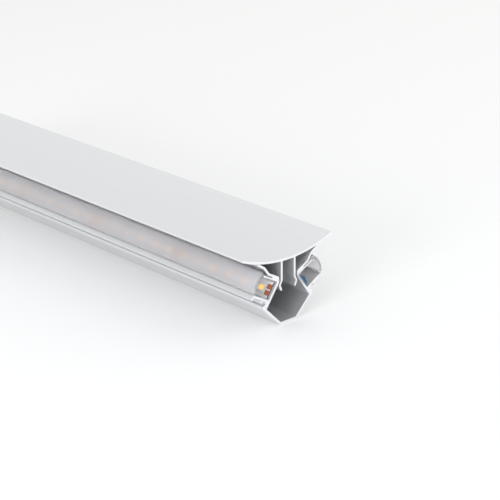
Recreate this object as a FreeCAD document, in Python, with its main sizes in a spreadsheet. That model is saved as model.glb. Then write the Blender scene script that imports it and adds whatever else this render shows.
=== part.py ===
"""Two-sided LED light profile: an extruded aluminium body, a snap-in cover plate,
two opal diffusers and two LED strips.

Frame: millimetres, +Z up, +Y along the profile. The origin is the middle of the flat
foot on which the profile stands, half-way along its length.
The section is symmetric about x = 0, so the right-hand half is described.
"""
import FreeCAD, Part

import math
import os

import Sketcher

doc = FreeCAD.newDocument("LedProfile")

# Driving dimensions
# Each row holds the name of a size, its value in millimetres or degrees, and what it sets.
SIZES = [
    ("profile_length", 280.0, "length of the profile"),
    ("wall", 1.2, "wall of the trough and of the strip seats"),
    ("foot_wall", 1.3, "thickness of the flat foot"),
    ("foot_inner_half", 4.5, "half width of the trough's flat floor"),
    ("trough_flare", 45, "slope of the lower trough walls"),
    ("trough_half", 12.9, "half width of the trough at its widest"),
    ("seat_lean", 35, "lean of the strip seats from the vertical"),
    ("neck_inset", 1.05, "how far the neck's inner face lies inside the top of the seat"),
    ("seat_start", 4.0, "from the trough's widest corner up to the foot of the seat"),
    ("seat_width", 8.95, "width of the strip seat"),
    ("channel_rise", 28, "slope of the channel's floor, rib and inner arm"),
    ("channel_floor_run", 9.81, "from the foot of the seat out to the crest of the lip"),
    ("channel_floor_wall", 0.9, "thickness of the channel's floor"),
    ("lip_fall", 36, "slope of the lip outside its crest"),
    ("lip_reach", 2.5, "from the crest down to the tip of the lip"),
    ("lip_wall", 0.9, "thickness of the lip"),
    ("ridge_rise", 0.6, "height of the ridge that keeps the diffuser's foot"),
    ("leg_start", 3.5, "from the foot of the seat out to the small leg under the floor"),
    ("leg_wall", 0.9, "thickness of the small leg"),
    ("leg_drop", 1.6, "length of the small leg"),
    ("notch_start", 1.7, "from the foot of the seat out to the notch under the floor"),
    ("corner_wall", 2.1, "wall outside the trough's widest corner"),
    ("corner_height", 1.3, "height of the outer corner's upright face"),
    ("rib_run", 9.4, "from the top of the seat out to the tip of the rib"),
    ("rib_wall", 0.7, "thickness of the rib over the channel"),
    ("slot_gap", 0.6, "width of the slot between rib and arm"),
    ("slot_start", 3.9, "from the neck's corner out to the root of the slot"),
    ("arm_wall", 1.0, "thickness of the arm"),
    ("arm_run", 6.6, "from the neck's corner out to the arm's first bend"),
    ("arm_climb", 55, "slope of the arm between its bends"),
    ("arm_climb_run", 4.15, "length of the arm between its bends"),
    ("arm_flare", 34, "slope of the arm's outer end"),
    ("arm_flare_run", 4.0, "length of the arm's outer end"),
    ("arm_tip_land", 0.7, "width of the land on the arm's tip that carries the cover"),
    ("neck_round", 1.3, "radius of the neck's upper corners"),
    ("bend_round", 0.8, "radius of the arm's bends"),
    ("corner_round", 0.4, "radius of the trough's corners"),
    ("tip_round", 0.3, "radius of the lip's tip and of the small leg"),
    ("cover_half", 27.0, "half width of the cover plate"),
    ("cover_wall", 1.1, "thickness of the cover plate"),
    ("cover_radius", 70.8, "radius of the cover plate's underside"),
    ("cover_gap", 0.04, "clearance between the cover plate and the arms"),
    ("clip_wall", 1.05, "thickness of the cover's two clip legs"),
    ("clip_play", 1.0, "clearance between a clip leg and the neck"),
    ("clip_bite", 0.2, "how far a clip's knee reaches past the neck"),
    ("clip_bend", 0.5, "height of the clip's bend above the neck's lower edge"),
    ("clip_knee", 1.7, "depth of the clip's knee below the neck's lower edge"),
    ("clip_foot", 4.2, "depth of the clip's foot below the neck's lower edge"),
    ("clip_tuck", 1.1, "how far the clip's foot turns back inwards from its knee"),
    ("clip_root_round", 0.4, "radius where a clip leg leaves the cover plate"),
    ("cover_edge_round", 0.3, "radius of the cover plate's long edges"),
    ("diffuser_radius", 10.6, "outer radius of the diffuser"),
    ("diffuser_wall", 1.2, "thickness of the diffuser"),
    ("diffuser_overhang", 0.73, "how far the diffuser's lower edge reaches out past the ridge"),
    ("diffuser_drop", 0.23, "how far that edge hangs below the ridge's top"),
    ("diffuser_reach", 1.37, "how far the diffuser's upper edge reaches out past the rib's tip"),
    ("diffuser_rise", 1.22, "height of that edge over the rib"),
    ("diffuser_fit", 0.08, "clearance of the diffuser's tongue and foot"),
    ("tongue_end_gap", 0.5, "clearance between the tongue and the root of its slot"),
    ("tongue_overlap", 0.9, "how far the tongue runs on past the rib into the diffuser's wall"),
    ("bead_width", 0.66, "thickness of the diffuser's foot"),
    ("bead_height", 1.2, "height of the diffuser's foot over the channel's floor"),
    ("bead_gap", 0.14, "clearance between the diffuser's foot and the ridge"),
    ("strip_width", 8.0, "width of the LED strip"),
    ("strip_edge_gap", 0.1, "clearance between the strip and the channel's floor"),
    ("strip_setback", 1.2, "how far inside the profile's near end the left strip starts"),
    ("strip_overhang", 0.3, "how far the right strip stands out of that end"),
    ("tape_corner", 3.0, "how far the upper corner of the right strip's tape runs on past its board"),
    ("tape_thickness", 0.2, "thickness of the adhesive tape"),
    ("board_thickness", 0.3, "thickness of the flexible board"),
    ("segment_length", 62.5, "length of a segment of the strip, from cut line to cut line"),
    ("segment_leds", 6, "LEDs of each segment"),
    ("led_length", 3.5, "size of an LED along the strip"),
    ("led_width", 2.8, "size of an LED across the strip"),
    ("led_height", 0.7, "height of an LED"),
    ("led_rim", 0.3, "rim of the LED around its phosphor"),
    ("led_cup_depth", 0.4, "depth of the cup that holds the phosphor"),
    ("phosphor_dish", 0.05, "how far the phosphor lies below the rim"),
    ("resistor_length", 2.0, "length of a resistor"),
    ("resistor_width", 1.25, "width of a resistor"),
    ("resistor_height", 0.5, "height of a resistor"),
    ("pad_width", 2.3, "width of a copper pad"),
    ("pad_led_gap", 0.65, "clearance between a copper pad and the LED beside it"),
    ("pad_spacing", 2.9, "distance between the centres of the two pads"),
    ("pad_thickness", 0.06, "thickness of a copper pad"),
    ("pad_round", 0.7, "radius of a copper pad's corners"),
]

sheet = doc.addObject("Spreadsheet::Sheet", "Sizes")
for row, (alias, value, meaning) in enumerate(SIZES, start=1):
    sheet.set(f"A{row}", alias)
    sheet.set(f"B{row}", str(value))
    sheet.setAlias(f"B{row}", alias)
    sheet.set(f"C{row}", meaning)
doc.recompute()


def size(alias):
    """A driving dimension as expression text."""
    return f"Sizes.{alias}"


def number(expression):
    """The value of an expression, in millimetres or degrees."""
    value = sheet.evalExpression(expression)
    return float(getattr(value, "Value", value))


# Points of the section
# A point is a pair of expressions (x, z), so that every outline stays bound to the sheet.

def step(point, run, angle):
    """The point at a distance from another, at an angle counted from +X towards +Z."""
    x, z = point
    return (f"{x} + ({run}) * cos({angle})", f"{z} + ({run}) * sin({angle})")


WALL = size("wall")
RISE = size("channel_rise")
LEAN = size("seat_lean")
SEAT_UP = f"(90 + {LEAN})"
SEAT_OUT = LEAN
FLOOR_DOWN = f"({RISE} - 90)"
FLOOR_UP = f"({RISE} + 90)"

flare_run = f"({size('trough_half')} - {size('foot_inner_half')})"
trough_corner = (size("trough_half"), f"{size('foot_wall')} + {flare_run} * tan({size('trough_flare')})")
seat_foot = step(step(trough_corner, size("seat_start"), SEAT_UP), WALL, SEAT_OUT)
seat_top = step(seat_foot, size("seat_width"), SEAT_UP)
neck_half = f"({seat_top[0]} - {size('neck_inset')})"
neck_low = (neck_half, f"{trough_corner[1]} + ({size('trough_half')} - {neck_half}) / tan({LEAN})")
neck_thickness = f"({size('rib_wall')} + {size('slot_gap')} + {size('arm_wall')})"
neck_corner = (
    neck_half,
    f"{seat_top[1]} - {size('neck_inset')} * tan({RISE}) + {neck_thickness} / cos({RISE})",
)
arm_bend = step(neck_corner, size("arm_run"), RISE)
arm_upper_bend = step(arm_bend, size("arm_climb_run"), size("arm_climb"))
arm_tip = step(arm_upper_bend, size("arm_flare_run"), size("arm_flare"))
lip_crest = step(seat_foot, size("channel_floor_run"), RISE)


def over_floor(run, rise):
    """A point of the channel by its distance from the seat's foot along the floor and its height over it."""
    return step(step(seat_foot, run, RISE), rise, FLOOR_UP)


def under_floor(run, drop):
    """A point under the channel's floor, by its depth below the floor's underside."""
    depth = f"{size('channel_floor_wall')} + {drop}"
    return step(step(seat_foot, run, RISE), depth, FLOOR_DOWN)


def inside_bend(point, thickness, before, after):
    """The matching corner on the lower face of a wall of even thickness that bends at a point."""
    return step(point, f"{thickness} / cos(({after} - {before}) / 2)", f"({before} + {after}) / 2 - 90")


# Ridge along the channel's floor, measured in the floor's own directions
lip_bend = f"({RISE} + {size('lip_fall')})"
ridge_run = f"({size('channel_floor_run')} - {size('ridge_rise')} * cos({lip_bend}))"
ridge_height = f"({size('ridge_rise')} * sin({lip_bend}))"

# Ends of the diffuser's outer face, from the ridge's top to past the rib's tip, in the same directions.
# Its axis lies inwards of the middle of the chord between them, by what is left of its radius.
rib_start = f"({size('seat_width')} * cos({SEAT_UP} - {RISE}))"
rib_height = f"({size('seat_width')} * sin({SEAT_UP} - {RISE}) + {size('rib_wall')})"
low_end = (f"({ridge_run} + {size('diffuser_overhang')})", f"({ridge_height} - {size('diffuser_drop')})")
high_end = (
    f"({rib_start} + {size('rib_run')} + {size('diffuser_reach')})",
    f"({rib_height} + {size('diffuser_rise')})",
)
chord_run = f"({high_end[0]} - {low_end[0]})"
chord_rise = f"({high_end[1]} - {low_end[1]})"
sag_share = f"sqrt({size('diffuser_radius')}^2 / ({chord_run}^2 + {chord_rise}^2) - 0.25)"
diffuser_axis = over_floor(
    f"(({low_end[0]} + {high_end[0]}) / 2 - {chord_rise} * {sag_share})",
    f"(({low_end[1]} + {high_end[1]}) / 2 + {chord_run} * {sag_share})",
)

# Axis of the cover plate's arc
cover_tangent = f"(asin(({arm_tip[0]}) / {size('cover_radius')}) / 1 deg)"
cover_axis_height = f"({arm_tip[1]} + {size('cover_gap')} + {size('cover_radius')} * cos({cover_tangent}))"
cover_crown = f"({cover_axis_height} - {size('cover_radius')})"


# Drawing tools

def origin_plane(body, role):
    """One of the body's own origin planes or axes."""
    return next(item for item in body.Origin.OriginFeatures if item.Role == role)


def new_body(label):
    body = doc.addObject("PartDesign::Body", label)
    body.Label = label
    return body


def new_sketch(body, name, role="XZ_Plane"):
    sketch = body.newObject("Sketcher::SketchObject", name)
    sketch.AttachmentSupport = [(origin_plane(body, role), "")]
    sketch.MapMode = "FlatFace"
    return sketch


def bind(sketch, kind, geometry, vertex, expression):
    """Holds one coordinate of a vertex at an expression."""
    index = sketch.addConstraint(Sketcher.Constraint(kind, -1, 1, geometry, vertex, number(expression)))
    sketch.setExpression(f"Constraints[{index}]", expression)


def draw_outline(sketch, corners, arcs=None):
    """A closed outline through corners given as expressions.

    arcs gives, for the edge that starts at a corner, the arc's centre and whether it runs clockwise.
    """
    arcs = arcs or {}
    spots = [FreeCAD.Vector(number(x), number(z), 0) for x, z in corners]
    ends = []
    for index, start in enumerate(spots):
        finish = spots[(index + 1) % len(spots)]
        if index in arcs:
            (centre_x, centre_z), clockwise = arcs[index]
            centre = FreeCAD.Vector(number(centre_x), number(centre_z), 0)
            first, last = (finish, start) if clockwise else (start, finish)
            angles = [math.atan2(spot.y - centre.y, spot.x - centre.x) for spot in (first, last)]
            circle = Part.Circle(centre, FreeCAD.Vector(0, 0, 1), (first - centre).Length)
            edge = sketch.addGeometry(Part.ArcOfCircle(circle, *angles), False)
            ends.append((edge, 2, 1) if clockwise else (edge, 1, 2))
            bind(sketch, "DistanceX", edge, 3, centre_x)
            bind(sketch, "DistanceY", edge, 3, centre_z)
        else:
            edge = sketch.addGeometry(Part.LineSegment(start, finish), False)
            ends.append((edge, 1, 2))
    for index, (edge, _, last_vertex) in enumerate(ends):
        next_edge, next_vertex, _ = ends[(index + 1) % len(ends)]
        sketch.addConstraint(Sketcher.Constraint("Coincident", edge, last_vertex, next_edge, next_vertex))
    for index, (edge, first_vertex, _) in enumerate(ends):
        x, z = corners[index]
        # Where an arc ends, its radius gives one of the two coordinates, the one that changes less along it.
        before = (index - 1) % len(corners)
        from_axis = None
        if before in arcs:
            from_axis = spots[index] - FreeCAD.Vector(*(number(value) for value in arcs[before][0]), 0)
        if from_axis is None or abs(from_axis.x) < abs(from_axis.y):
            bind(sketch, "DistanceX", edge, first_vertex, x)
        if from_axis is None or abs(from_axis.x) >= abs(from_axis.y):
            bind(sketch, "DistanceY", edge, first_vertex, z)


def pad(body, sketch, name, length, symmetric=True):
    feature = body.newObject("PartDesign::Pad", name)
    feature.Profile = sketch
    feature.SideType = "Symmetric" if symmetric else "One side"
    feature.setExpression("Length", length)
    feature.Refine = True
    doc.recompute()
    return feature


def mirror_halves(body, features):
    """Completes a section drawn on one side of x = 0."""
    mirrored = body.newObject("PartDesign::Mirrored", body.Label + "_halves")
    mirrored.Originals = features
    mirrored.MirrorPlane = (origin_plane(body, "YZ_Plane"), [""])
    mirrored.Refine = True
    body.Tip = mirrored
    doc.recompute()
    return mirrored


def long_edges(base, corners, both_sides=True):
    """Names of the edges that run along the profile through given points of the section."""
    signs = (1, -1) if both_sides else (1,)
    targets = [(sign * number(x), number(z)) for x, z in corners for sign in signs]
    names = []
    for index, edge in enumerate(base.Shape.Edges, start=1):
        first, last = edge.Vertexes[0].Point, edge.Vertexes[-1].Point
        along = abs(first.x - last.x) + abs(first.z - last.z) < 1e-4
        if along and any(math.hypot(first.x - x, first.z - z) < 1e-3 for x, z in targets):
            names.append(f"Edge{index}")
    if len(names) != len(targets):
        raise RuntimeError(f"{base.Name}: {len(names)} edges found for {len(targets)} corners")
    return names


def round_corners(body, base, name, corners, radius, both_sides=True):
    feature = body.newObject("PartDesign::Fillet", name)
    feature.Base = (base, long_edges(base, corners, both_sides))
    feature.setExpression("Radius", radius)
    feature.Refine = True
    body.Tip = feature
    doc.recompute()
    return feature


# Extruded body

def make_profile_body():
    """The trough, its neck, the two LED channels with their lips, and the arms under the cover."""
    flare = size("trough_flare")
    foot_half = (
        f"{size('foot_inner_half')} - {size('foot_wall')} / tan({flare}) + {WALL} / sin({flare})"
    )
    corner_half = f"({size('trough_half')} + {size('corner_wall')})"
    outer_corner = (corner_half, f"({corner_half} - ({foot_half})) * tan({flare})")
    outer_top = (corner_half, f"{outer_corner[1]} + {size('corner_height')}")
    notch_top = under_floor(size("notch_start"), "0")
    notch_low = (
        notch_top[0],
        f"{outer_top[1]} + ({corner_half} - ({notch_top[0]})) * tan({RISE})",
    )
    leg_inner = size("leg_start")
    leg_outer = f"({size('leg_start')} + {size('leg_wall')})"
    lip_down = f"(0 - {size('lip_fall')})"
    lip_tip = step(lip_crest, size("lip_reach"), lip_down)
    lip_tip_low = step(lip_tip, size("lip_wall"), f"{lip_down} - 90")
    lip_root = step(
        lip_crest,
        f"{size('lip_wall')} / cos({lip_bend} / 2)",
        f"270 + ({RISE} - {size('lip_fall')}) / 2",
    )
    rib_tip = step(seat_top, size("rib_run"), RISE)
    rib_tip_top = step(rib_tip, size("rib_wall"), FLOOR_UP)
    slot_root_top = step(step(neck_corner, size("slot_start"), RISE), size("arm_wall"), FLOOR_DOWN)
    slot_root_low = step(slot_root_top, size("slot_gap"), FLOOR_DOWN)
    arm_under_bend = inside_bend(arm_bend, size("arm_wall"), RISE, size("arm_climb"))
    arm_under_upper = inside_bend(arm_upper_bend, size("arm_wall"), size("arm_climb"), size("arm_flare"))
    tip_outer = step(arm_tip, size("arm_tip_land"), cover_tangent)
    tip_face = f"{size('arm_wall')} - {size('arm_tip_land')} * sin({size('arm_flare')} - {cover_tangent})"
    tip_under = step(tip_outer, tip_face, f"{size('arm_flare')} - 90")

    foot_corner = (foot_half, "0")
    floor_corner = (size("foot_inner_half"), size("foot_wall"))
    leg_tips = [under_floor(leg_inner, size("leg_drop")), under_floor(leg_outer, size("leg_drop"))]
    corners = [
        ("0", "0"),
        foot_corner,
        outer_corner,
        outer_top,
        notch_low,
        notch_top,
        under_floor(leg_inner, "0"),
        leg_tips[0],
        leg_tips[1],
        under_floor(leg_outer, "0"),
        lip_root,
        lip_tip_low,
        lip_tip,
        over_floor(ridge_run, ridge_height),
        over_floor(ridge_run, "0"),
        seat_foot,
        seat_top,
        rib_tip,
        rib_tip_top,
        slot_root_low,
        slot_root_top,
        arm_under_bend,
        arm_under_upper,
        tip_under,
        tip_outer,
        arm_tip,
        arm_upper_bend,
        arm_bend,
        neck_corner,
        neck_low,
        trough_corner,
        floor_corner,
        ("0", size("foot_wall")),
    ]
    body = new_body("profile_body")
    section = new_sketch(body, "profile_section")
    draw_outline(section, corners)
    half = pad(body, section, "profile_half", size("profile_length"))
    whole = mirror_halves(body, [half])
    bends = [arm_bend, arm_upper_bend, arm_under_bend, arm_under_upper]
    rounded = round_corners(body, whole, "neck_corners", [neck_corner], size("neck_round"))
    rounded = round_corners(body, rounded, "arm_bends", bends, size("bend_round"))
    rounded = round_corners(
        body,
        rounded,
        "trough_corners",
        [foot_corner, outer_corner, outer_top, floor_corner, trough_corner, neck_low],
        size("corner_round"),
    )
    round_corners(body, rounded, "lip_and_leg_tips", [lip_tip, lip_tip_low, *leg_tips], size("tip_round"))
    return body


# Cover plate

def make_cover_plate():
    """The dished plate that bridges the arms, with its two clip legs in the neck."""
    radius = size("cover_radius")
    top_radius = f"({radius} - {size('cover_wall')})"
    edge_angle = f"(asin({size('cover_half')} / {radius}) / 1 deg)"
    axis = ("0", cover_axis_height)
    low_edge = (size("cover_half"), f"{cover_axis_height} - {radius} * cos({edge_angle})")
    top_edge = (
        f"{top_radius} * sin({edge_angle})",
        f"{cover_axis_height} - {top_radius} * cos({edge_angle})",
    )
    plate_corners = [
        ("0", cover_crown),
        low_edge,
        top_edge,
        ("0", f"{cover_crown} + {size('cover_wall')}"),
    ]
    clip_outer = f"({neck_half} - {size('clip_play')})"
    knee = f"({neck_half} + {size('clip_bite')})"
    neck_edge = neck_low[1]
    bend_height = f"{neck_edge} + {size('clip_bend')}"
    knee_height = f"{neck_edge} - {size('clip_knee')}"
    foot_height = f"{neck_edge} - {size('clip_foot')}"
    root_height = f"{cover_crown} + {size('cover_wall')} / 2"
    outer_side = [
        (clip_outer, root_height),
        (clip_outer, bend_height),
        (knee, knee_height),
        (f"{knee} - {size('clip_tuck')}", foot_height),
    ]
    inner_side = [(f"{x} - {size('clip_wall')}", z) for x, z in reversed(outer_side)]
    # Where the two faces of a leg meet the plate's underside.
    roots = [
        (x, f"{cover_axis_height} - {radius} * cos(asin(({x}) / {radius}) / 1 deg)")
        for x in (clip_outer, f"({clip_outer} - {size('clip_wall')})")
    ]

    body = new_body("cover_plate")
    plate_section = new_sketch(body, "cover_section")
    draw_outline(plate_section, plate_corners, {0: (axis, False), 2: (axis, True)})
    plate = pad(body, plate_section, "cover_half_plate", size("profile_length"))
    clip_section = new_sketch(body, "clip_section")
    draw_outline(clip_section, outer_side + inner_side)
    clip = pad(body, clip_section, "clip_leg", size("profile_length"))
    whole = mirror_halves(body, [plate, clip])
    rounded = round_corners(body, whole, "clip_roots", roots, size("clip_root_round"))
    rounded = round_corners(
        body,
        rounded,
        "clip_bends",
        [outer_side[1], outer_side[2], inner_side[1], inner_side[2]],
        size("bend_round"),
    )
    rounded = round_corners(
        body, rounded, "clip_feet", [outer_side[3], inner_side[0]], size("cover_edge_round")
    )
    round_corners(body, rounded, "plate_edges", [low_edge, top_edge], size("cover_edge_round"))
    return body


# Diffusers

def make_diffuser(side_name, turn):
    """The bowed opal cover of one channel, with a tongue in the arm's slot and a foot behind the ridge."""
    outer_ends = [over_floor(*low_end), over_floor(*high_end)]
    # The inner face has the same axis, so its ends lie on the way from the outer ones to it.
    share = f"({size('diffuser_wall')} / {size('diffuser_radius')})"
    inner_ends = [
        tuple(f"{value} + {share} * ({centre} - ({value}))" for value, centre in zip(end, diffuser_axis))
        for end in outer_ends
    ]
    shell_corners = [*outer_ends, *reversed(inner_ends)]
    fit = size("diffuser_fit")
    tongue_wall = f"({size('slot_gap')} - 2 * {fit})"
    slot_floor = step(seat_top, f"{size('rib_wall')} + {fit}", FLOOR_UP)
    # Along the rib, the slot's root lies this far from the point over the top of the seat.
    root_run = (
        f"({size('slot_start')} - {size('neck_inset')} / cos({RISE}) + {neck_thickness} * tan({RISE}))"
    )
    tongue_start = f"{root_run} + {size('tongue_end_gap')}"
    tongue_end = f"{size('rib_run')} + {size('tongue_overlap')}"
    tongue_corners = [
        step(slot_floor, tongue_start, RISE),
        step(slot_floor, tongue_end, RISE),
        step(step(slot_floor, tongue_end, RISE), tongue_wall, FLOOR_UP),
        step(step(slot_floor, tongue_start, RISE), tongue_wall, FLOOR_UP),
    ]
    bead_outer = f"({ridge_run} - {size('bead_gap')})"
    bead_inner = f"({bead_outer} - {size('bead_width')})"
    bead_corners = [
        over_floor(bead_inner, fit),
        over_floor(bead_outer, fit),
        over_floor(bead_outer, size("bead_height")),
        over_floor(bead_inner, size("bead_height")),
    ]
    body = new_body(f"diffuser_{side_name}")
    shell_section = new_sketch(body, f"shell_section_{side_name}")
    draw_outline(shell_section, shell_corners, {0: (diffuser_axis, False), 2: (diffuser_axis, True)})
    pad(body, shell_section, f"shell_{side_name}", size("profile_length"))
    for name, corners in (("tongue", tongue_corners), ("bead", bead_corners)):
        section = new_sketch(body, f"{name}_section_{side_name}")
        draw_outline(section, corners)
        pad(body, section, f"{name}_{side_name}", size("profile_length"))
    body.Placement = FreeCAD.Placement(FreeCAD.Vector(), FreeCAD.Rotation(FreeCAD.Vector(0, 0, 1), turn))
    return body


# LED strips
# A strip's own frame: X across the strip, Y along it, Z out of its seat.

# It is cut to as many whole segments as the profile takes. The small share stops rounding
# from taking one away where they fill it exactly.

SEGMENT = size("segment_length")
SEGMENT_COUNT = f"floor({size('profile_length')} / {SEGMENT} + 0.001)"
STRIP_LENGTH = f"({SEGMENT_COUNT} * {SEGMENT})"
LED_PITCH = f"({SEGMENT} / {size('segment_leds')})"
LED_COUNT = f"{SEGMENT_COUNT} * {size('segment_leds')}"
FIRST_LED = f"({LED_PITCH} - {STRIP_LENGTH}) / 2"
BOARD_TOP = f"({size('tape_thickness')} + {size('board_thickness')})"
strip_middle = step(seat_foot, f"{size('strip_edge_gap')} + {size('strip_width')} / 2", SEAT_UP)


def seat_on_channel(body, side):
    """Leans a strip's piece onto the seat of the right (side 1) or left (side -1) channel."""
    # Any angle but zero fixes the axis of the turn, and its expression then sets the angle.
    body.Placement.Rotation = FreeCAD.Rotation(FreeCAD.Vector(0, 1, 0), 45)
    body.setExpression("Placement.Base.x", f"{side} * ({strip_middle[0]})")
    start = f"(0 - {size('strip_overhang')})" if side > 0 else size("strip_setback")
    spare_length = f"({size('profile_length')} - {STRIP_LENGTH})"
    body.setExpression("Placement.Base.y", f"{start} - {spare_length} / 2")
    body.setExpression("Placement.Base.z", strip_middle[1])
    body.setExpression("Placement.Rotation.Angle", f"{side} * (90 - {LEAN})")


def rectangle(centre, width, length):
    """Corners of a rectangle in the strip's plane, as expressions."""
    x, y = centre
    half_width, half_length = f"({width}) / 2", f"({length}) / 2"
    return [
        (f"{x} - {half_width}", f"{y} - {half_length}"),
        (f"{x} + {half_width}", f"{y} - {half_length}"),
        (f"{x} + {half_width}", f"{y} + {half_length}"),
        (f"{x} - {half_width}", f"{y} + {half_length}"),
    ]


def cup_outline():
    """The mouth of the first LED's cup."""
    width = f"{size('led_width')} - 2 * {size('led_rim')}"
    length = f"{size('led_length')} - 2 * {size('led_rim')}"
    return rectangle(("0", FIRST_LED), width, length)


def round_rectangle(corners, radius, chosen):
    """A rectangle's outline with some corners, counted from its first, made round, and its arcs."""
    outline, arcs = [], {}
    for index, (x, y) in enumerate(corners):
        if index not in chosen:
            outline.append((x, y))
            continue
        inner_x = f"{x} + {1 if index in (0, 3) else -1} * {radius}"
        inner_y = f"{y} + {1 if index in (0, 1) else -1} * {radius}"
        arcs[len(outline)] = ((inner_x, inner_y), False)
        ends = [(x, inner_y), (inner_x, y)]
        outline += ends if index in (0, 2) else reversed(ends)
    return outline, arcs


def flat_sketch(body, name, height, outlines):
    """A sketch at a height over the strip's seat, holding one or more outlines with their arcs."""
    sketch = new_sketch(body, name, "XY_Plane")
    sketch.setExpression("AttachmentOffset.Base.z", height)
    for corners, arcs in outlines:
        draw_outline(sketch, corners, arcs)
    return sketch


def repeat_along(body, features, count, pitch):
    """Repeats a piece along the strip."""
    row = body.newObject("PartDesign::LinearPattern", body.Label + "_row")
    row.Originals = features
    row.Direction = (origin_plane(body, "Y_Axis"), [""])
    row.Mode = "Spacing"
    row.setExpression("Occurrences", count)
    row.setExpression("Offset", pitch)
    body.Tip = row
    doc.recompute()
    return row


def make_layer(name, side_name, side, start, thickness, slant="0"):
    """A band as wide as the strip, such as its tape or its board, whose first corner may run on."""
    body = new_body(f"strip_{name}_{side_name}")
    first, *others = rectangle(("0", "0"), size("strip_width"), STRIP_LENGTH)
    corners = [(first[0], f"{first[1]} - {slant}"), *others]
    section = flat_sketch(body, f"{name}_outline_{side_name}", start, [(corners, {})])
    pad(body, section, f"{name}_{side_name}", thickness, symmetric=False)
    seat_on_channel(body, side)
    return body


def make_led_housings(side_name, side):
    """The white LED packages, each with a cup for its phosphor."""
    body = new_body(f"led_housings_{side_name}")
    package = rectangle(("0", FIRST_LED), size("led_width"), size("led_length"))
    package_section = flat_sketch(body, f"led_outline_{side_name}", BOARD_TOP, [(package, {})])
    block = pad(body, package_section, f"led_block_{side_name}", size("led_height"), symmetric=False)
    full_volume = block.Shape.Volume
    led_top = f"{BOARD_TOP} + {size('led_height')}"
    cup_section = flat_sketch(body, f"cup_outline_{side_name}", led_top, [(cup_outline(), {})])
    cup = body.newObject("PartDesign::Pocket", f"led_cup_{side_name}")
    cup.Profile = cup_section
    cup.setExpression("Length", size("led_cup_depth"))
    doc.recompute()
    if cup.Shape.Volume >= full_volume:
        raise RuntimeError("the phosphor cup cuts nothing")
    repeat_along(body, [block, cup], LED_COUNT, LED_PITCH)
    seat_on_channel(body, side)
    return body


def make_led_phosphors(side_name, side):
    """The yellow phosphor that fills each cup to just below its rim."""
    body = new_body(f"led_phosphors_{side_name}")
    cup_floor = f"{BOARD_TOP} + {size('led_height')} - {size('led_cup_depth')}"
    section = flat_sketch(body, f"phosphor_outline_{side_name}", cup_floor, [(cup_outline(), {})])
    depth = f"{size('led_cup_depth')} - {size('phosphor_dish')}"
    fill = pad(body, section, f"phosphor_{side_name}", depth, symmetric=False)
    repeat_along(body, [fill], LED_COUNT, LED_PITCH)
    seat_on_channel(body, side)
    return body


def make_resistors(side_name, side):
    """One resistor in each segment, in the gap between two LEDs at its middle."""
    body = new_body(f"resistors_{side_name}")
    middle = f"floor({size('segment_leds')} / 2) * {LED_PITCH} - {STRIP_LENGTH} / 2"
    outline = rectangle(("0", middle), size("resistor_width"), size("resistor_length"))
    section = flat_sketch(body, f"resistor_outline_{side_name}", BOARD_TOP, [(outline, {})])
    block = pad(body, section, f"resistor_{side_name}", size("resistor_height"), symmetric=False)
    repeat_along(body, [block], SEGMENT_COUNT, SEGMENT)
    seat_on_channel(body, side)
    return body


def make_solder_pads(side_name, side):
    """Two copper pads across every cut line, and their halves at the two ends of the strip."""
    body = new_body(f"solder_pads_{side_name}")
    across = [f"{sign} * {size('pad_spacing')} / 2" for sign in (-1, 1)]
    width = size("pad_width")
    length = f"(({LED_PITCH} - {size('led_length')}) / 2 - {size('pad_led_gap')})"
    first_cut = f"{SEGMENT} - {STRIP_LENGTH} / 2"
    turn = size("pad_round")
    cut_pads = [
        round_rectangle(rectangle((x, first_cut), width, f"2 * {length}"), turn, (0, 1, 2, 3))
        for x in across
    ]
    cut_section = flat_sketch(body, f"cut_pad_outline_{side_name}", BOARD_TOP, cut_pads)
    pair = pad(body, cut_section, f"cut_pads_{side_name}", size("pad_thickness"), symmetric=False)
    repeat_along(body, [pair], f"{SEGMENT_COUNT} - 1", SEGMENT)
    end_middle = f"({STRIP_LENGTH} - {length}) / 2"
    # A half pad keeps its square corners at the cut.
    end_pads = [
        round_rectangle(rectangle((x, f"{end} * {end_middle}"), width, length), turn, round_ends)
        for x in across
        for end, round_ends in ((-1, (2, 3)), (1, (0, 1)))
    ]
    end_section = flat_sketch(body, f"end_pad_outline_{side_name}", BOARD_TOP, end_pads)
    pad(body, end_section, f"end_pads_{side_name}", size("pad_thickness"), symmetric=False)
    seat_on_channel(body, side)
    return body


def make_strip(side_name, side):
    """One LED strip from its adhesive tape up."""
    slant = size("tape_corner") if side > 0 else "0"
    return [
        make_layer("tape", side_name, side, "0", size("tape_thickness"), slant),
        make_layer("board", side_name, side, size("tape_thickness"), size("board_thickness")),
        make_led_housings(side_name, side),
        make_led_phosphors(side_name, side),
        make_resistors(side_name, side),
        make_solder_pads(side_name, side),
    ]


parts = [make_profile_body(), make_cover_plate(), make_diffuser("right", 0), make_diffuser("left", 180)]
parts += make_strip("right", 1)
parts += make_strip("left", -1)
doc.recompute()

# Every object has to be sound before anything is written.
for item in doc.Objects:
    faults = {"Invalid", "Error"} & set(item.State)
    if faults:
        raise RuntimeError(f"{item.Name}: {sorted(faults)}")
for part in parts:
    if part.Shape.isNull() or not part.Shape.isValid():
        raise RuntimeError(f"{part.Label}: the shape is null or not valid")

os.makedirs("parts", exist_ok=True)
for part in parts:
    part.Shape.exportStep(f"parts/{part.Label}.step")
    bounds = part.Shape.BoundBox
    print(
        f"{part.Label:22} {len(part.Shape.Solids):3} solids {part.Shape.Volume:10.1f} mm3"
        f"  x {bounds.XMin:8.2f} {bounds.XMax:8.2f}  y {bounds.YMin:8.2f} {bounds.YMax:8.2f}"
        f"  z {bounds.ZMin:6.2f} {bounds.ZMax:6.2f}"
    )
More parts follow.
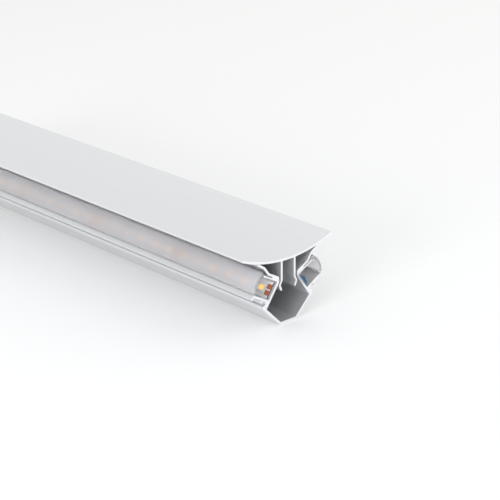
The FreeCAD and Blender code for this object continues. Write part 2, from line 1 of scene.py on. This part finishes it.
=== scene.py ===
# %% [markdown]
# A two-sided LED light profile: an extruded aluminium body, a dished cover plate, two opal
# diffusers and two LED strips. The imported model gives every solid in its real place, so this
# lesson only dresses them: it gives each surface the finish of its real material, adds the
# smallest metal parts of the strips, and sets up a pale studio around them.

# %% Load the frame
import math

import bmesh
import bpy
from mathutils import Matrix, Vector


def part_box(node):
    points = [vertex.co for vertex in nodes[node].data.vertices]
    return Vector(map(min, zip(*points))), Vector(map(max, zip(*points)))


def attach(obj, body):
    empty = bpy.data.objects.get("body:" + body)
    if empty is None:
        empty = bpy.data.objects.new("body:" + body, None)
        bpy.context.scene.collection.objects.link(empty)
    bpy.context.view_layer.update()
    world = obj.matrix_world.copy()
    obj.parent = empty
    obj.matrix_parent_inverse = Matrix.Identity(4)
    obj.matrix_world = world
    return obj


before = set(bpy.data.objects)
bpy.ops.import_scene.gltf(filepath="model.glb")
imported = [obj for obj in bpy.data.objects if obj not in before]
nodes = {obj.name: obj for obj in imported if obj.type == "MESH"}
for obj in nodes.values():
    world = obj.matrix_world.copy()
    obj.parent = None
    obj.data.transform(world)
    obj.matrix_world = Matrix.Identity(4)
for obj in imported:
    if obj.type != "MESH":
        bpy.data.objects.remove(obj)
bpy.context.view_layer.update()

scene = bpy.context.scene
near_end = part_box("profile_body")[0][1]
print("pieces in the frame:", len(nodes))
print("the near end is at y =", round(near_end * 1000, 2), "mm")

# %% [markdown]
# Blender works in metres, and a light profile is made to tenths of a millimetre. Two helpers
# keep the numbers below readable: one turns millimetres into metres, the other turns the usual
# written colour, which is meant for a screen, into the linear colour that a renderer needs.

# %% Units and colours
def mm(value):
    return value / 1000


def linear(written):
    """The linear colour of a hex value such as #dfe1e3, by the numbers of the sRGB standard."""
    shares = [int(written[i:i + 2], 16) / 255 for i in (1, 3, 5)]
    light = [v / 12.92 if v <= 0.04045 else ((v + 0.055) / 1.055) ** 2.4 for v in shares]
    return (*light, 1)


print("mid grey #808080 is", round(linear("#808080")[0], 3), "in linear light")

# %% [markdown]
# Every finish is a small tree of shader nodes. One helper adds a node with its settings, and
# links or sets its inputs: a socket is linked, anything else becomes the input's own value.
# Two more begin and end a material, so that each finish below holds only what is its own.

# %% One helper for all nodes
def add_node(tree, kind, inputs=None, **settings):
    made = tree.nodes.new(kind)
    for name, value in settings.items():
        setattr(made, name, value)
    for name, value in (inputs or {}).items():
        if isinstance(value, bpy.types.NodeSocket):
            tree.links.new(value, made.inputs[name])
        else:
            made.inputs[name].default_value = value
    return made


def new_material(name):
    """An empty material, its tree, and the coordinates of the piece in metres."""
    material = bpy.data.materials.new(name)
    material.use_nodes = True
    tree = material.node_tree
    tree.nodes.clear()
    place = add_node(tree, "ShaderNodeTexCoord").outputs["Object"]
    return material, tree, place


def finish_material(material, tree, surface):
    add_node(tree, "ShaderNodeOutputMaterial", {"Surface": surface})
    print("material:", material.name)
    return material


print("helpers: add_node, new_material, finish_material")

# %% [markdown]
# The long pieces are sawn to length, so their ends share one look: a bare face with the fine
# curved marks of the blade. The marks are rings round the saw's axis, and a face counts as
# sawn where it looks along the profile. The ends could have a material of their own, but then
# every piece's faces would have to be sorted first, and a test inside the one material does
# that for all of them. A fine blade's marks are too close together to show, so they are drawn
# about half a millimetre apart.

# %% Which faces are sawn, and the marks on them
SAW_MARK = mm(0.55)
SAW_CENTRE = (mm(110), 0, mm(-150))
SAWN_FROM = 0.9
RING_PERIOD = math.tau / 20  # Blender's wave texture repeats at this distance at scale 1.


def saw_pattern(tree, place):
    """Two values: 1 on a sawn face and 0 elsewhere, and the height of the saw's marks."""
    from_saw = add_node(
        tree, "ShaderNodeVectorMath", {0: place, 1: SAW_CENTRE}, operation="SUBTRACT"
    ).outputs[0]
    marks = add_node(
        tree, "ShaderNodeTexWave",
        {"Vector": from_saw, "Scale": RING_PERIOD / SAW_MARK, "Distortion": 1.5, "Detail": 2.0},
        wave_type="RINGS", rings_direction="Y",
    ).outputs["Fac"]
    facing = add_node(tree, "ShaderNodeNewGeometry").outputs["True Normal"]
    along = add_node(tree, "ShaderNodeSeparateXYZ", {0: facing}).outputs["Y"]
    size = add_node(tree, "ShaderNodeMath", {0: along}, operation="ABSOLUTE").outputs[0]
    sawn = add_node(
        tree, "ShaderNodeMath", {0: size, 1: SAWN_FROM}, operation="GREATER_THAN"
    ).outputs[0]
    return sawn, marks


print("saw marks are drawn", round(SAW_MARK * 1000, 2), "mm apart")

# %% [markdown]
# The body and the plate are 6063 aluminium, extruded through a die, etched matt and clear
# anodised. That gives a pale satin grey: the oxide scatters part of the light, so the metallic
# value is below 1, and the metal mirrors the rest softly. Two things break it up: faint lines
# along the profile, which the die leaves, and the fine grain of the etched surface. Stretched
# noise gives the lines and plain noise the grain, without unwrapping any face. The real ones
# are too fine to show, so both are drawn coarser. On the sawn ends the bare, brighter metal
# shows.

# %% Anodised aluminium, with sawn ends
ANODISED = linear("#e5e6e7")
ANODISED_DARK = linear("#dfe0e1")
SAWN = linear("#fafbfc")
SAWN_DARK = linear("#eff0f2")
DIE_LINE = mm(0.5)
DIE_LINE_LENGTH = mm(90)
GRAIN = mm(0.3)
GRAIN_SHARE = 0.5
METAL_SHARE = 0.75
SMOOTHEST = 0.42
ROUGHEST = 0.52


def make_aluminium():
    material, tree, place = new_material("anodised_aluminium_6063")
    stretched = add_node(
        tree, "ShaderNodeVectorMath",
        {0: place, 1: (1 / DIE_LINE, 1 / DIE_LINE_LENGTH, 1 / DIE_LINE)}, operation="MULTIPLY",
    ).outputs[0]
    lines = add_node(
        tree, "ShaderNodeTexNoise", {"Vector": stretched, "Scale": 1.0, "Detail": 2.0}
    ).outputs["Fac"]
    grain = add_node(
        tree, "ShaderNodeTexNoise", {"Vector": place, "Scale": 1 / GRAIN, "Detail": 2.0}
    ).outputs["Fac"]
    sawn, saw = saw_pattern(tree, place)
    skin = add_node(
        tree, "ShaderNodeMix", {0: lines, 6: ANODISED_DARK, 7: ANODISED}, data_type="RGBA"
    ).outputs[2]
    cut = add_node(
        tree, "ShaderNodeMix", {0: saw, 6: SAWN_DARK, 7: SAWN}, data_type="RGBA"
    ).outputs[2]
    colour = add_node(
        tree, "ShaderNodeMix", {0: sawn, 6: skin, 7: cut}, data_type="RGBA"
    ).outputs[2]
    relief = add_node(
        tree, "ShaderNodeMix", {0: GRAIN_SHARE, 2: lines, 3: grain}, data_type="FLOAT"
    ).outputs[0]
    height = add_node(
        tree, "ShaderNodeMix", {0: sawn, 2: relief, 3: saw}, data_type="FLOAT"
    ).outputs[0]
    bump = add_node(
        tree, "ShaderNodeBump", {"Height": height, "Strength": 0.12, "Distance": mm(0.03)}
    ).outputs[0]
    rough = add_node(
        tree, "ShaderNodeMapRange", {0: grain, 3: SMOOTHEST, 4: ROUGHEST}
    ).outputs[0]
    metal = add_node(
        tree, "ShaderNodeBsdfPrincipled",
        {"Base Color": colour, "Metallic": METAL_SHARE, "Roughness": rough, "Normal": bump},
    ).outputs[0]
    return finish_material(material, tree, metal)


aluminium = make_aluminium()

# %% [markdown]
# The diffusers are extruded opal acrylic: clear plastic filled with fine white particles. Part
# of the light that goes in is scattered within a fraction of a millimetre and comes out near
# by, so the wall looks white and soft. The rest passes through, blurred, so the strip behind
# shows as faint warm spots. Subsurface scattering gives the first, and rough transmission the
# second. A scattering volume would come closer to the real plastic, but stays noisy with the
# few samples of a quick picture. The filler leaves a faint lilac tint, the die a ripple along
# the wall, and the saw a whitened edge.

# %% Opal acrylic
OPAL = linear("#f9f8ff")
OPAL_CUT = linear("#fbfbfc")
OPAL_RIPPLE = mm(1.5)
OPAL_DEPTH = mm(0.3)
OPAL_CLEAR_SHARE = 0.74
OPAL_BLUR = 0.24
ACRYLIC_IOR = 1.49


def make_opal():
    material, tree, place = new_material("opal_acrylic")
    stretched = add_node(
        tree, "ShaderNodeVectorMath",
        {0: place, 1: (1 / OPAL_RIPPLE, 1 / DIE_LINE_LENGTH, 1 / OPAL_RIPPLE)},
        operation="MULTIPLY",
    ).outputs[0]
    ripple = add_node(
        tree, "ShaderNodeTexNoise", {"Vector": stretched, "Scale": 1.0, "Detail": 2.0}
    ).outputs["Fac"]
    sawn, saw = saw_pattern(tree, place)
    colour = add_node(
        tree, "ShaderNodeMix", {0: sawn, 6: OPAL, 7: OPAL_CUT}, data_type="RGBA"
    ).outputs[2]
    height = add_node(
        tree, "ShaderNodeMix", {0: sawn, 2: ripple, 3: saw}, data_type="FLOAT"
    ).outputs[0]
    bump = add_node(
        tree, "ShaderNodeBump", {"Height": height, "Strength": 0.1, "Distance": mm(0.05)}
    ).outputs[0]
    plastic = add_node(
        tree, "ShaderNodeBsdfPrincipled",
        {
            "Base Color": colour, "Roughness": OPAL_BLUR, "IOR": ACRYLIC_IOR, "Normal": bump,
            "Transmission Weight": OPAL_CLEAR_SHARE, "Subsurface Weight": 1.0,
            "Subsurface Radius": (1.0, 1.0, 1.0), "Subsurface Scale": OPAL_DEPTH,
        },
    ).outputs[0]
    return finish_material(material, tree, plastic)


opal = make_opal()

# %% [markdown]
# The LED strips lie on slanted seats. Patterns that belong to a strip, such as its cut marks,
# need the strip's own coordinates: how far a point is from its middle line, and how far along
# it from its first LED. Unwrapping every small solid could give them, but the place in the
# model does too: the seats lean by the same angle to both sides, so the distance from the
# model's middle plane serves left and right alike.

# %% The strip's own coordinates
SEAT_LEAN = math.radians(35)
UP_SEAT = Vector((-math.sin(SEAT_LEAN), 0, math.cos(SEAT_LEAN)))
OFF_SEAT = Vector((math.cos(SEAT_LEAN), 0, math.sin(SEAT_LEAN)))
STRIP_SEGMENT = mm(62.5)
LEDS_PER_SEGMENT = 6
LED_PITCH = STRIP_SEGMENT / LEDS_PER_SEGMENT
LED_LENGTH = mm(3.5)

board_low, board_high = (Vector(corner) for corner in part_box("strip_board_right"))
strip_middle = (board_low + board_high) / 2
first_led = {
    side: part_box(f"led_housings_{side}")[0][1] + LED_LENGTH / 2 for side in ("left", "right")
}
print("middle of the board on the right:", [round(v * 1000, 2) for v in strip_middle])


def strip_coordinates(tree, place):
    """How far a point is up the seat from the strip's middle line, and along from its first LED."""
    parts = add_node(tree, "ShaderNodeSeparateXYZ", {0: place}).outputs
    out = add_node(tree, "ShaderNodeMath", {0: parts["X"]}, operation="ABSOLUTE").outputs[0]
    folded = add_node(tree, "ShaderNodeCombineXYZ", {"X": out, "Z": parts["Z"]}).outputs[0]
    up = add_node(
        tree, "ShaderNodeVectorMath", {0: folded, 1: tuple(UP_SEAT)}, operation="DOT_PRODUCT"
    ).outputs["Value"]
    across = add_node(
        tree, "ShaderNodeMath", {0: up, 1: strip_middle.dot(UP_SEAT)}, operation="SUBTRACT"
    ).outputs[0]
    right = add_node(
        tree, "ShaderNodeMath", {0: parts["X"], 1: 0.0}, operation="GREATER_THAN"
    ).outputs[0]
    first = add_node(
        tree, "ShaderNodeMix", {0: right, 2: first_led["left"], 3: first_led["right"]},
        data_type="FLOAT",
    ).outputs[0]
    along = add_node(
        tree, "ShaderNodeMath", {0: parts["Y"], 1: first}, operation="SUBTRACT"
    ).outputs[0]
    return across, along


# %% [markdown]
# A strip is a sandwich. At the bottom is the adhesive tape, drawn a dark steel blue, then a
# flexible board of polyimide under a white solder mask. The mask follows the copper below it,
# so the two supply tracks along the edges and the bridges between the LEDs stand up a little.
# A fine black line is printed across the board wherever the strip may be cut. The tracks are a
# few hundredths of a millimetre high, which is why a bump draws them and no faces do.

# %% Solder mask over copper tracks
MASK = linear("#f6f6f3")
MASK_SHADE = linear("#eeede9")
MASK_SPECK = mm(1.2)
CUT_INK = linear("#3a3c40")
CUT_LINE_HALF = mm(0.12)
TRACK_INSIDE = mm(2.55)
TRACK_OUTSIDE = mm(3.75)
TRACK_EDGE = mm(0.1)
BRIDGE_HALF = mm(1.1)


def make_board():
    material, tree, place = new_material("solder_mask_white")
    across, along = strip_coordinates(tree, place)
    out = add_node(tree, "ShaderNodeMath", {0: across}, operation="ABSOLUTE").outputs[0]
    inner = add_node(
        tree, "ShaderNodeMapRange",
        {0: out, 1: TRACK_INSIDE - TRACK_EDGE, 2: TRACK_INSIDE + TRACK_EDGE},
    ).outputs[0]
    outer = add_node(
        tree, "ShaderNodeMapRange",
        {0: out, 1: TRACK_OUTSIDE + TRACK_EDGE, 2: TRACK_OUTSIDE - TRACK_EDGE},
    ).outputs[0]
    tracks = add_node(
        tree, "ShaderNodeMath", {0: inner, 1: outer}, operation="MULTIPLY"
    ).outputs[0]
    bridges = add_node(
        tree, "ShaderNodeMapRange",
        {0: out, 1: BRIDGE_HALF + TRACK_EDGE, 2: BRIDGE_HALF - TRACK_EDGE},
    ).outputs[0]
    copper_below = add_node(
        tree, "ShaderNodeMath", {0: tracks, 1: bridges}, operation="ADD"
    ).outputs[0]
    # A cut line lies half an LED pitch before the first LED, and then once in each segment.
    from_cut = add_node(
        tree, "ShaderNodeMath", {0: along, 1: LED_PITCH / 2}, operation="ADD"
    ).outputs[0]
    to_cut = add_node(
        tree, "ShaderNodeMath", {0: from_cut, 1: STRIP_SEGMENT / 2}, operation="PINGPONG"
    ).outputs[0]
    inked = add_node(
        tree, "ShaderNodeMath", {0: to_cut, 1: CUT_LINE_HALF}, operation="LESS_THAN"
    ).outputs[0]
    speck = add_node(
        tree, "ShaderNodeTexNoise", {"Vector": place, "Scale": 1 / MASK_SPECK, "Detail": 3.0}
    ).outputs["Fac"]
    white = add_node(
        tree, "ShaderNodeMix", {0: speck, 6: MASK_SHADE, 7: MASK}, data_type="RGBA"
    ).outputs[2]
    colour = add_node(
        tree, "ShaderNodeMix", {0: inked, 6: white, 7: CUT_INK}, data_type="RGBA"
    ).outputs[2]
    bump = add_node(
        tree, "ShaderNodeBump", {"Height": copper_below, "Strength": 0.6, "Distance": mm(0.04)}
    ).outputs[0]
    mask = add_node(
        tree, "ShaderNodeBsdfPrincipled",
        {"Base Color": colour, "Roughness": 0.34, "Normal": bump},
    ).outputs[0]
    return finish_material(material, tree, mask)


board = make_board()

# %% [markdown]
# Each LED is a moulded white cup filled with clear silicone that is loaded with yellow
# phosphor. The fill is deepest yellow at the cup's wall, and paler over the small square chip
# in the middle, which shows through. Phosphor turns the blue part of any light into yellow, so
# it looks brighter than paint of its colour even when the strip is off. A soft emission paints
# that on as a glow of its own, the same whether the LED is lit or in shade, and this painted
# glow is what shows through the opal diffusers.

# %% Phosphor in silicone
PHOSPHOR = linear("#f2c04a")
PHOSPHOR_PALE = linear("#fae48e")
# Painted glow: the phosphor gives off this light although the strip is off.
PHOSPHOR_PAINTED_GLOW = linear("#f7b566")
PHOSPHOR_PAINTED_GLOW_STRENGTH = 0.8
PHOSPHOR_GRAIN = mm(0.25)
CHIP_HALF = mm(0.35)
CHIP_FADE = mm(0.75)


def make_phosphor():
    material, tree, place = new_material("phosphor_silicone_yellow")
    across, along = strip_coordinates(tree, place)
    out = add_node(tree, "ShaderNodeMath", {0: across}, operation="ABSOLUTE").outputs[0]
    # The distance to the nearest LED's middle rises and falls once in each LED pitch.
    to_led = add_node(
        tree, "ShaderNodeMath", {0: along, 1: LED_PITCH / 2}, operation="PINGPONG"
    ).outputs[0]
    reach = add_node(
        tree, "ShaderNodeMath", {0: out, 1: to_led}, operation="MAXIMUM"
    ).outputs[0]
    yellow = add_node(
        tree, "ShaderNodeMapRange", {0: reach, 1: CHIP_HALF, 2: CHIP_FADE}
    ).outputs[0]
    colour = add_node(
        tree, "ShaderNodeMix", {0: yellow, 6: PHOSPHOR_PALE, 7: PHOSPHOR}, data_type="RGBA"
    ).outputs[2]
    grain = add_node(
        tree, "ShaderNodeTexNoise", {"Vector": place, "Scale": 1 / PHOSPHOR_GRAIN, "Detail": 2.0}
    ).outputs["Fac"]
    bump = add_node(
        tree, "ShaderNodeBump", {"Height": grain, "Strength": 0.2, "Distance": mm(0.01)}
    ).outputs[0]
    # The emission is a painted glow on the LEDs, not light from a lamp.
    gel = add_node(
        tree, "ShaderNodeBsdfPrincipled",
        {
            "Base Color": colour, "Roughness": 0.22, "Normal": bump,
            "Emission Color": PHOSPHOR_PAINTED_GLOW, "Emission Strength": PHOSPHOR_PAINTED_GLOW_STRENGTH,
        },
    ).outputs[0]
    return finish_material(material, tree, gel)


phosphor = make_phosphor()

# %% [markdown]
# The other small parts of the strip have plainer finishes. Each is two close colours that
# drift into each other over the size of its own grain, with a fine relief: the dark steel-blue
# tape, moulded polyamide, the glaze of a chip resistor, copper pads that have begun to
# tarnish, and the tinned metal of soldered joints. They differ only in those values, so one
# function makes them all.

# %% Finishes of the small parts
def make_plain(name, colour, other, grain, rough, relief, metallic=0.0):
    """A finish of two close colours that drift into each other over a grain size in metres."""
    material, tree, place = new_material(name)
    drift = add_node(
        tree, "ShaderNodeTexNoise", {"Vector": place, "Scale": 1 / grain, "Detail": 3.0}
    ).outputs["Fac"]
    mixed = add_node(
        tree, "ShaderNodeMix", {0: drift, 6: linear(colour), 7: linear(other)}, data_type="RGBA"
    ).outputs[2]
    bump = add_node(
        tree, "ShaderNodeBump", {"Height": drift, "Strength": 0.3, "Distance": relief}
    ).outputs[0]
    surface = add_node(
        tree, "ShaderNodeBsdfPrincipled",
        {"Base Color": mixed, "Roughness": rough, "Metallic": metallic, "Normal": bump},
    ).outputs[0]
    return finish_material(material, tree, surface)


tape = make_plain(
    "adhesive_tape_blue", "#28506d", "#335e7d", grain=mm(0.6), rough=0.55, relief=mm(0.02)
)
housing = make_plain(
    "moulded_polyamide_white", "#f8f7f3", "#f0efea", grain=mm(0.8), rough=0.4, relief=mm(0.005)
)
resistor = make_plain(
    "glazed_ceramic_black", "#17181a", "#232427", grain=mm(0.3), rough=0.3, relief=mm(0.005)
)
copper = make_plain(
    "bare_copper", "#e08f6c", "#b8674a", grain=mm(0.7), rough=0.45, relief=mm(0.02), metallic=0.6
)
tin = make_plain(
    "tinned_copper", "#d9dbdd", "#c4c7ca", grain=mm(0.4), rough=0.3, relief=mm(0.01), metallic=1.0
)

# %% [markdown]
# Each solid takes the finish of its family, which is the same on the left and on the right.
# Where two faces meet at a small angle the edge between them is shaded smooth, so the bowed
# plate and diffusers look round, and the sharper corners of the extrusion stay crisp.

# %% Give every solid its finish
FINISHES = {
    "profile_body": aluminium, "cover_plate": aluminium, "diffuser": opal, "strip_tape": tape,
    "strip_board": board, "led_housings": housing, "led_phosphors": phosphor,
    "resistors": resistor, "solder_pads": copper,
}
SMOOTH_BELOW = math.radians(30)

for name, piece in nodes.items():
    family = name.removesuffix("_left").removesuffix("_right")
    piece.data.materials.clear()
    piece.data.materials.append(FINISHES[family])
    piece.data.set_sharp_from_angle(angle=SMOOTH_BELOW)
print("dressed solids:", len(nodes))

# %% [markdown]
# Every LED and resistor is held by solder: a small bright fillet that climbs its end face and
# thins out over the pad in a hollow curve. Each is one strip of faces, the curve's outline
# drawn across the part's width. They are too small for the solid model but catch the light
# when the diffuser is off, so they are built here, in the strip's own coordinates, and a
# matrix leans them onto each seat.

# %% The outline of a fillet, and its copies
BOARD_THICKNESS = mm(0.3)
# How far out from the part and how high each point of the outline is, in millimetres.
FILLET_CURVE = [
    (0.0, 0.0), (0.42, 0.0), (0.42, 0.03), (0.27, 0.07), (0.15, 0.15), (0.06, 0.27), (0.0, 0.40),
]


def add_fillet(mesh, middle, width, start, way, scale):
    """A fillet across the strip at middle, which starts at a place along it and runs one way."""
    rings = []
    for x in (middle - width / 2, middle + width / 2):
        rings.append([
            mesh.verts.new((x, start + way * mm(run) * scale, mm(height) * scale))
            for run, height in FILLET_CURVE
        ])
    near, far = rings
    mesh.faces.new(near)
    mesh.faces.new(reversed(far))
    for k in range(len(near)):
        after = (k + 1) % len(near)
        mesh.faces.new((near[after], near[k], far[k], far[after]))


def place_on_seat(name, mesh, side, start, material):
    """A piece from a mesh in strip coordinates, leaned onto a seat, where it rides."""
    bmesh.ops.recalc_face_normals(mesh, faces=mesh.faces)
    data = bpy.data.meshes.new(name)
    mesh.to_mesh(data)
    mesh.free()
    data.materials.append(material)
    piece = bpy.data.objects.new(name, data)
    scene.collection.objects.link(piece)
    sign = 1 if side == "right" else -1
    top = strip_middle + OFF_SEAT * (BOARD_THICKNESS / 2)
    piece.matrix_world = (
        Matrix.Translation((sign * top.x, start, top.z))
        @ Matrix.Rotation(sign * (math.pi / 2 - SEAT_LEAN), 4, "Y")
    )
    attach(piece, "profile")
    return piece


print("a fillet reaches", FILLET_CURVE[1][0], "mm out and", FILLET_CURVE[-1][1], "mm up")

# %% [markdown]
# An LED stands on two terminals, one at each end, so each gets two fillets. A chip resistor
# has a tinned cap round each end as well: a thin sleeve that is open towards its middle. Each
# segment has one resistor, between its third and its fourth LED.

# %% Solder on LEDs and resistors
TERMINAL_WIDTH = mm(2.1)
RESISTOR_LENGTH = mm(2.0)
RESISTOR_WIDTH = mm(1.25)
RESISTOR_HEIGHT = mm(0.5)
RESISTOR_AFTER_PITCHES = 2.5
LED_FILLET_SCALE = 1.0
RESISTOR_FILLET_SCALE = 0.8
CAP_LENGTH = mm(0.4)
CAP_SKIN = mm(0.02)


def add_cap(mesh, end, way):
    """A resistor's end cap: a box round its end, with the side towards the middle left open."""
    half = RESISTOR_WIDTH / 2 + CAP_SKIN
    high = RESISTOR_HEIGHT + CAP_SKIN
    outer, inner = end + way * CAP_SKIN, end - way * CAP_LENGTH
    ring = [(-half, 0), (half, 0), (half, high), (-half, high)]
    front = [mesh.verts.new((x, outer, z)) for x, z in ring]
    back = [mesh.verts.new((x, inner, z)) for x, z in ring]
    mesh.faces.new(front)
    # The sleeve has three sides: its first edge lies on the board and gets none.
    for k in range(1, 4):
        after = (k + 1) % 4
        mesh.faces.new((front[k], front[after], back[after], back[k]))


def make_solder(side):
    (_, board_start, _), (_, board_end, _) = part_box(f"strip_board_{side}")
    segments = round((board_end - board_start) / STRIP_SEGMENT)
    mesh = bmesh.new()
    for k in range(segments * LEDS_PER_SEGMENT):
        for way in (-1, 1):
            end = k * LED_PITCH + way * LED_LENGTH / 2
            add_fillet(mesh, 0, TERMINAL_WIDTH, end, way, LED_FILLET_SCALE)
    for k in range(segments):
        middle = k * STRIP_SEGMENT + RESISTOR_AFTER_PITCHES * LED_PITCH
        for way in (-1, 1):
            end = middle + way * RESISTOR_LENGTH / 2
            add_cap(mesh, end, way)
            add_fillet(mesh, 0, RESISTOR_WIDTH, end + way * CAP_SKIN, way, RESISTOR_FILLET_SCALE)
    piece = place_on_seat(f"solder_joints_{side}", mesh, side, first_led[side], tin)
    print(piece.name, "has", len(piece.data.polygons), "faces")


make_solder("left")
make_solder("right")

# %% [markdown]
# The studio is a white floor that runs out of the picture, and a white sky. The floor looks
# white because of its own colour and a little glow for the rays that show it, and it keeps the
# profile's shadow. The sky is white for the same rays and dimmer for those that light the
# profile: a white background that came from more light would bleach the pale metal. A curved
# backdrop could stand behind the profile, but a flat floor is enough where the camera looks
# down on it.

# %% Floor and sky
WHITE = linear("#ffffff")
FLOOR_WHITE = linear("#f3f3f2")
FLOOR_GLOW = 0.07
FLOOR_HALF = 4.0
FLOOR_DROP = mm(0.05)
SKY_LIGHT = 0.74
SKY_SHOWN = 1.0


def rays_that_show(tree):
    """1 for the rays that show a background: to the camera, in a mirror or through plastic."""
    rays = add_node(tree, "ShaderNodeLightPath").outputs
    seen = add_node(
        tree, "ShaderNodeMath", {0: rays["Is Camera Ray"], 1: rays["Is Glossy Ray"]},
        operation="MAXIMUM",
    ).outputs[0]
    return add_node(
        tree, "ShaderNodeMath", {0: seen, 1: rays["Is Transmission Ray"]}, operation="MAXIMUM"
    ).outputs[0]


def make_floor():
    mesh = bpy.data.meshes.new("studio_floor")
    corners = [
        (x * FLOOR_HALF, y * FLOOR_HALF, -FLOOR_DROP)
        for x, y in ((-1, -1), (1, -1), (1, 1), (-1, 1))
    ]
    mesh.from_pydata(corners, [], [(0, 1, 2, 3)])
    floor = bpy.data.objects.new("studio_floor", mesh)
    scene.collection.objects.link(floor)
    material, tree, _ = new_material("studio_floor_white")
    matt = add_node(tree, "ShaderNodeBsdfDiffuse", {"Color": FLOOR_WHITE}).outputs[0]
    glow = add_node(
        tree, "ShaderNodeEmission", {"Color": WHITE, "Strength": FLOOR_GLOW}
    ).outputs[0]
    both = add_node(tree, "ShaderNodeAddShader", {0: matt, 1: glow}).outputs[0]
    surface = add_node(
        tree, "ShaderNodeMixShader", {0: rays_that_show(tree), 1: matt, 2: both}
    ).outputs[0]
    mesh.materials.append(finish_material(material, tree, surface))


def make_sky():
    world = bpy.data.worlds.new("studio_sky")
    scene.world = world
    world.use_nodes = True
    tree = world.node_tree
    tree.nodes.clear()
    brightness = add_node(
        tree, "ShaderNodeMapRange", {0: rays_that_show(tree), 3: SKY_LIGHT, 4: SKY_SHOWN}
    ).outputs[0]
    background = add_node(
        tree, "ShaderNodeBackground", {"Color": WHITE, "Strength": brightness}
    ).outputs[0]
    add_node(tree, "ShaderNodeOutputWorld", {"Surface": background})


make_floor()
make_sky()
print("floor and sky are in place")

# %% [markdown]
# Three soft lamps add to the sky: a key lamp high on the right, which gives the soft shadow
# under the left-hand side, a cooler one high in front, which lights the sawn end and looks
# into the trough, and a smaller one low on the left for the long side. They are kept out of
# mirror-like reflections, where they would glare in the plate: the metal mirrors the sky and
# the floor.

# %% Lamps
def make_lamp(name, place, aim, width, power, colour):
    """A square soft lamp: its place, the point it looks at, its width, power and colour."""
    lamp = bpy.data.lights.new(name, "AREA")
    lamp.size = width
    lamp.energy = power
    lamp.color = linear(colour)[:3]
    holder = bpy.data.objects.new(name, lamp)
    holder.location = place
    holder.rotation_mode = "QUATERNION"
    holder.rotation_quaternion = (Vector(aim) - Vector(place)).to_track_quat("-Z", "Y")
    holder.visible_glossy = False
    scene.collection.objects.link(holder)
    print(name, "at", place)


make_lamp("key_lamp", (1.2, -0.3, 0.9), aim=(0, 0, 0), width=2.0, power=6, colour="#fffaf5")
make_lamp(
    "front_lamp", (-0.5, -1.1, 1.0), aim=(0, near_end, mm(15)),
    width=1.4, power=6.2, colour="#dbe6f4",
)
make_lamp(
    "side_lamp", (-1.45, -0.5, 0.3), aim=(0, 0, mm(15)), width=0.6, power=11.5, colour="#fcfdff"
)

# %% [markdown]
# The camera stands to the left of the profile's near end and looks along it and down. Its place
# and lens were worked out from the profile's long edges and its cut end. The Standard view
# transform shows each colour as it is, where the film-like ones bend it.

# %% Camera
CAMERA_PLACE = Vector((mm(-454.3), near_end - mm(478.8), mm(286.7)))
CAMERA_LOOK = Vector((0.6256, 0.6935, -0.3574))
CAMERA_ROLL = math.radians(-0.444)
LENS_LENGTH = 117.11
SENSOR_WIDTH = 36

lens = bpy.data.cameras.new("camera")
lens.lens = LENS_LENGTH
lens.sensor_width = SENSOR_WIDTH
lens.clip_start = mm(10)
camera = bpy.data.objects.new("camera", lens)
scene.collection.objects.link(camera)
camera.location = CAMERA_PLACE
camera.rotation_mode = "QUATERNION"
aimed = CAMERA_LOOK.to_track_quat("-Z", "Y")
rolled = Matrix.Rotation(CAMERA_ROLL, 3, "Z").to_quaternion()
camera.rotation_quaternion = aimed @ rolled
scene.camera = camera
scene.view_settings.view_transform = "Standard"
print("camera is", round(camera.location.length * 1000), "mm from the profile's middle")
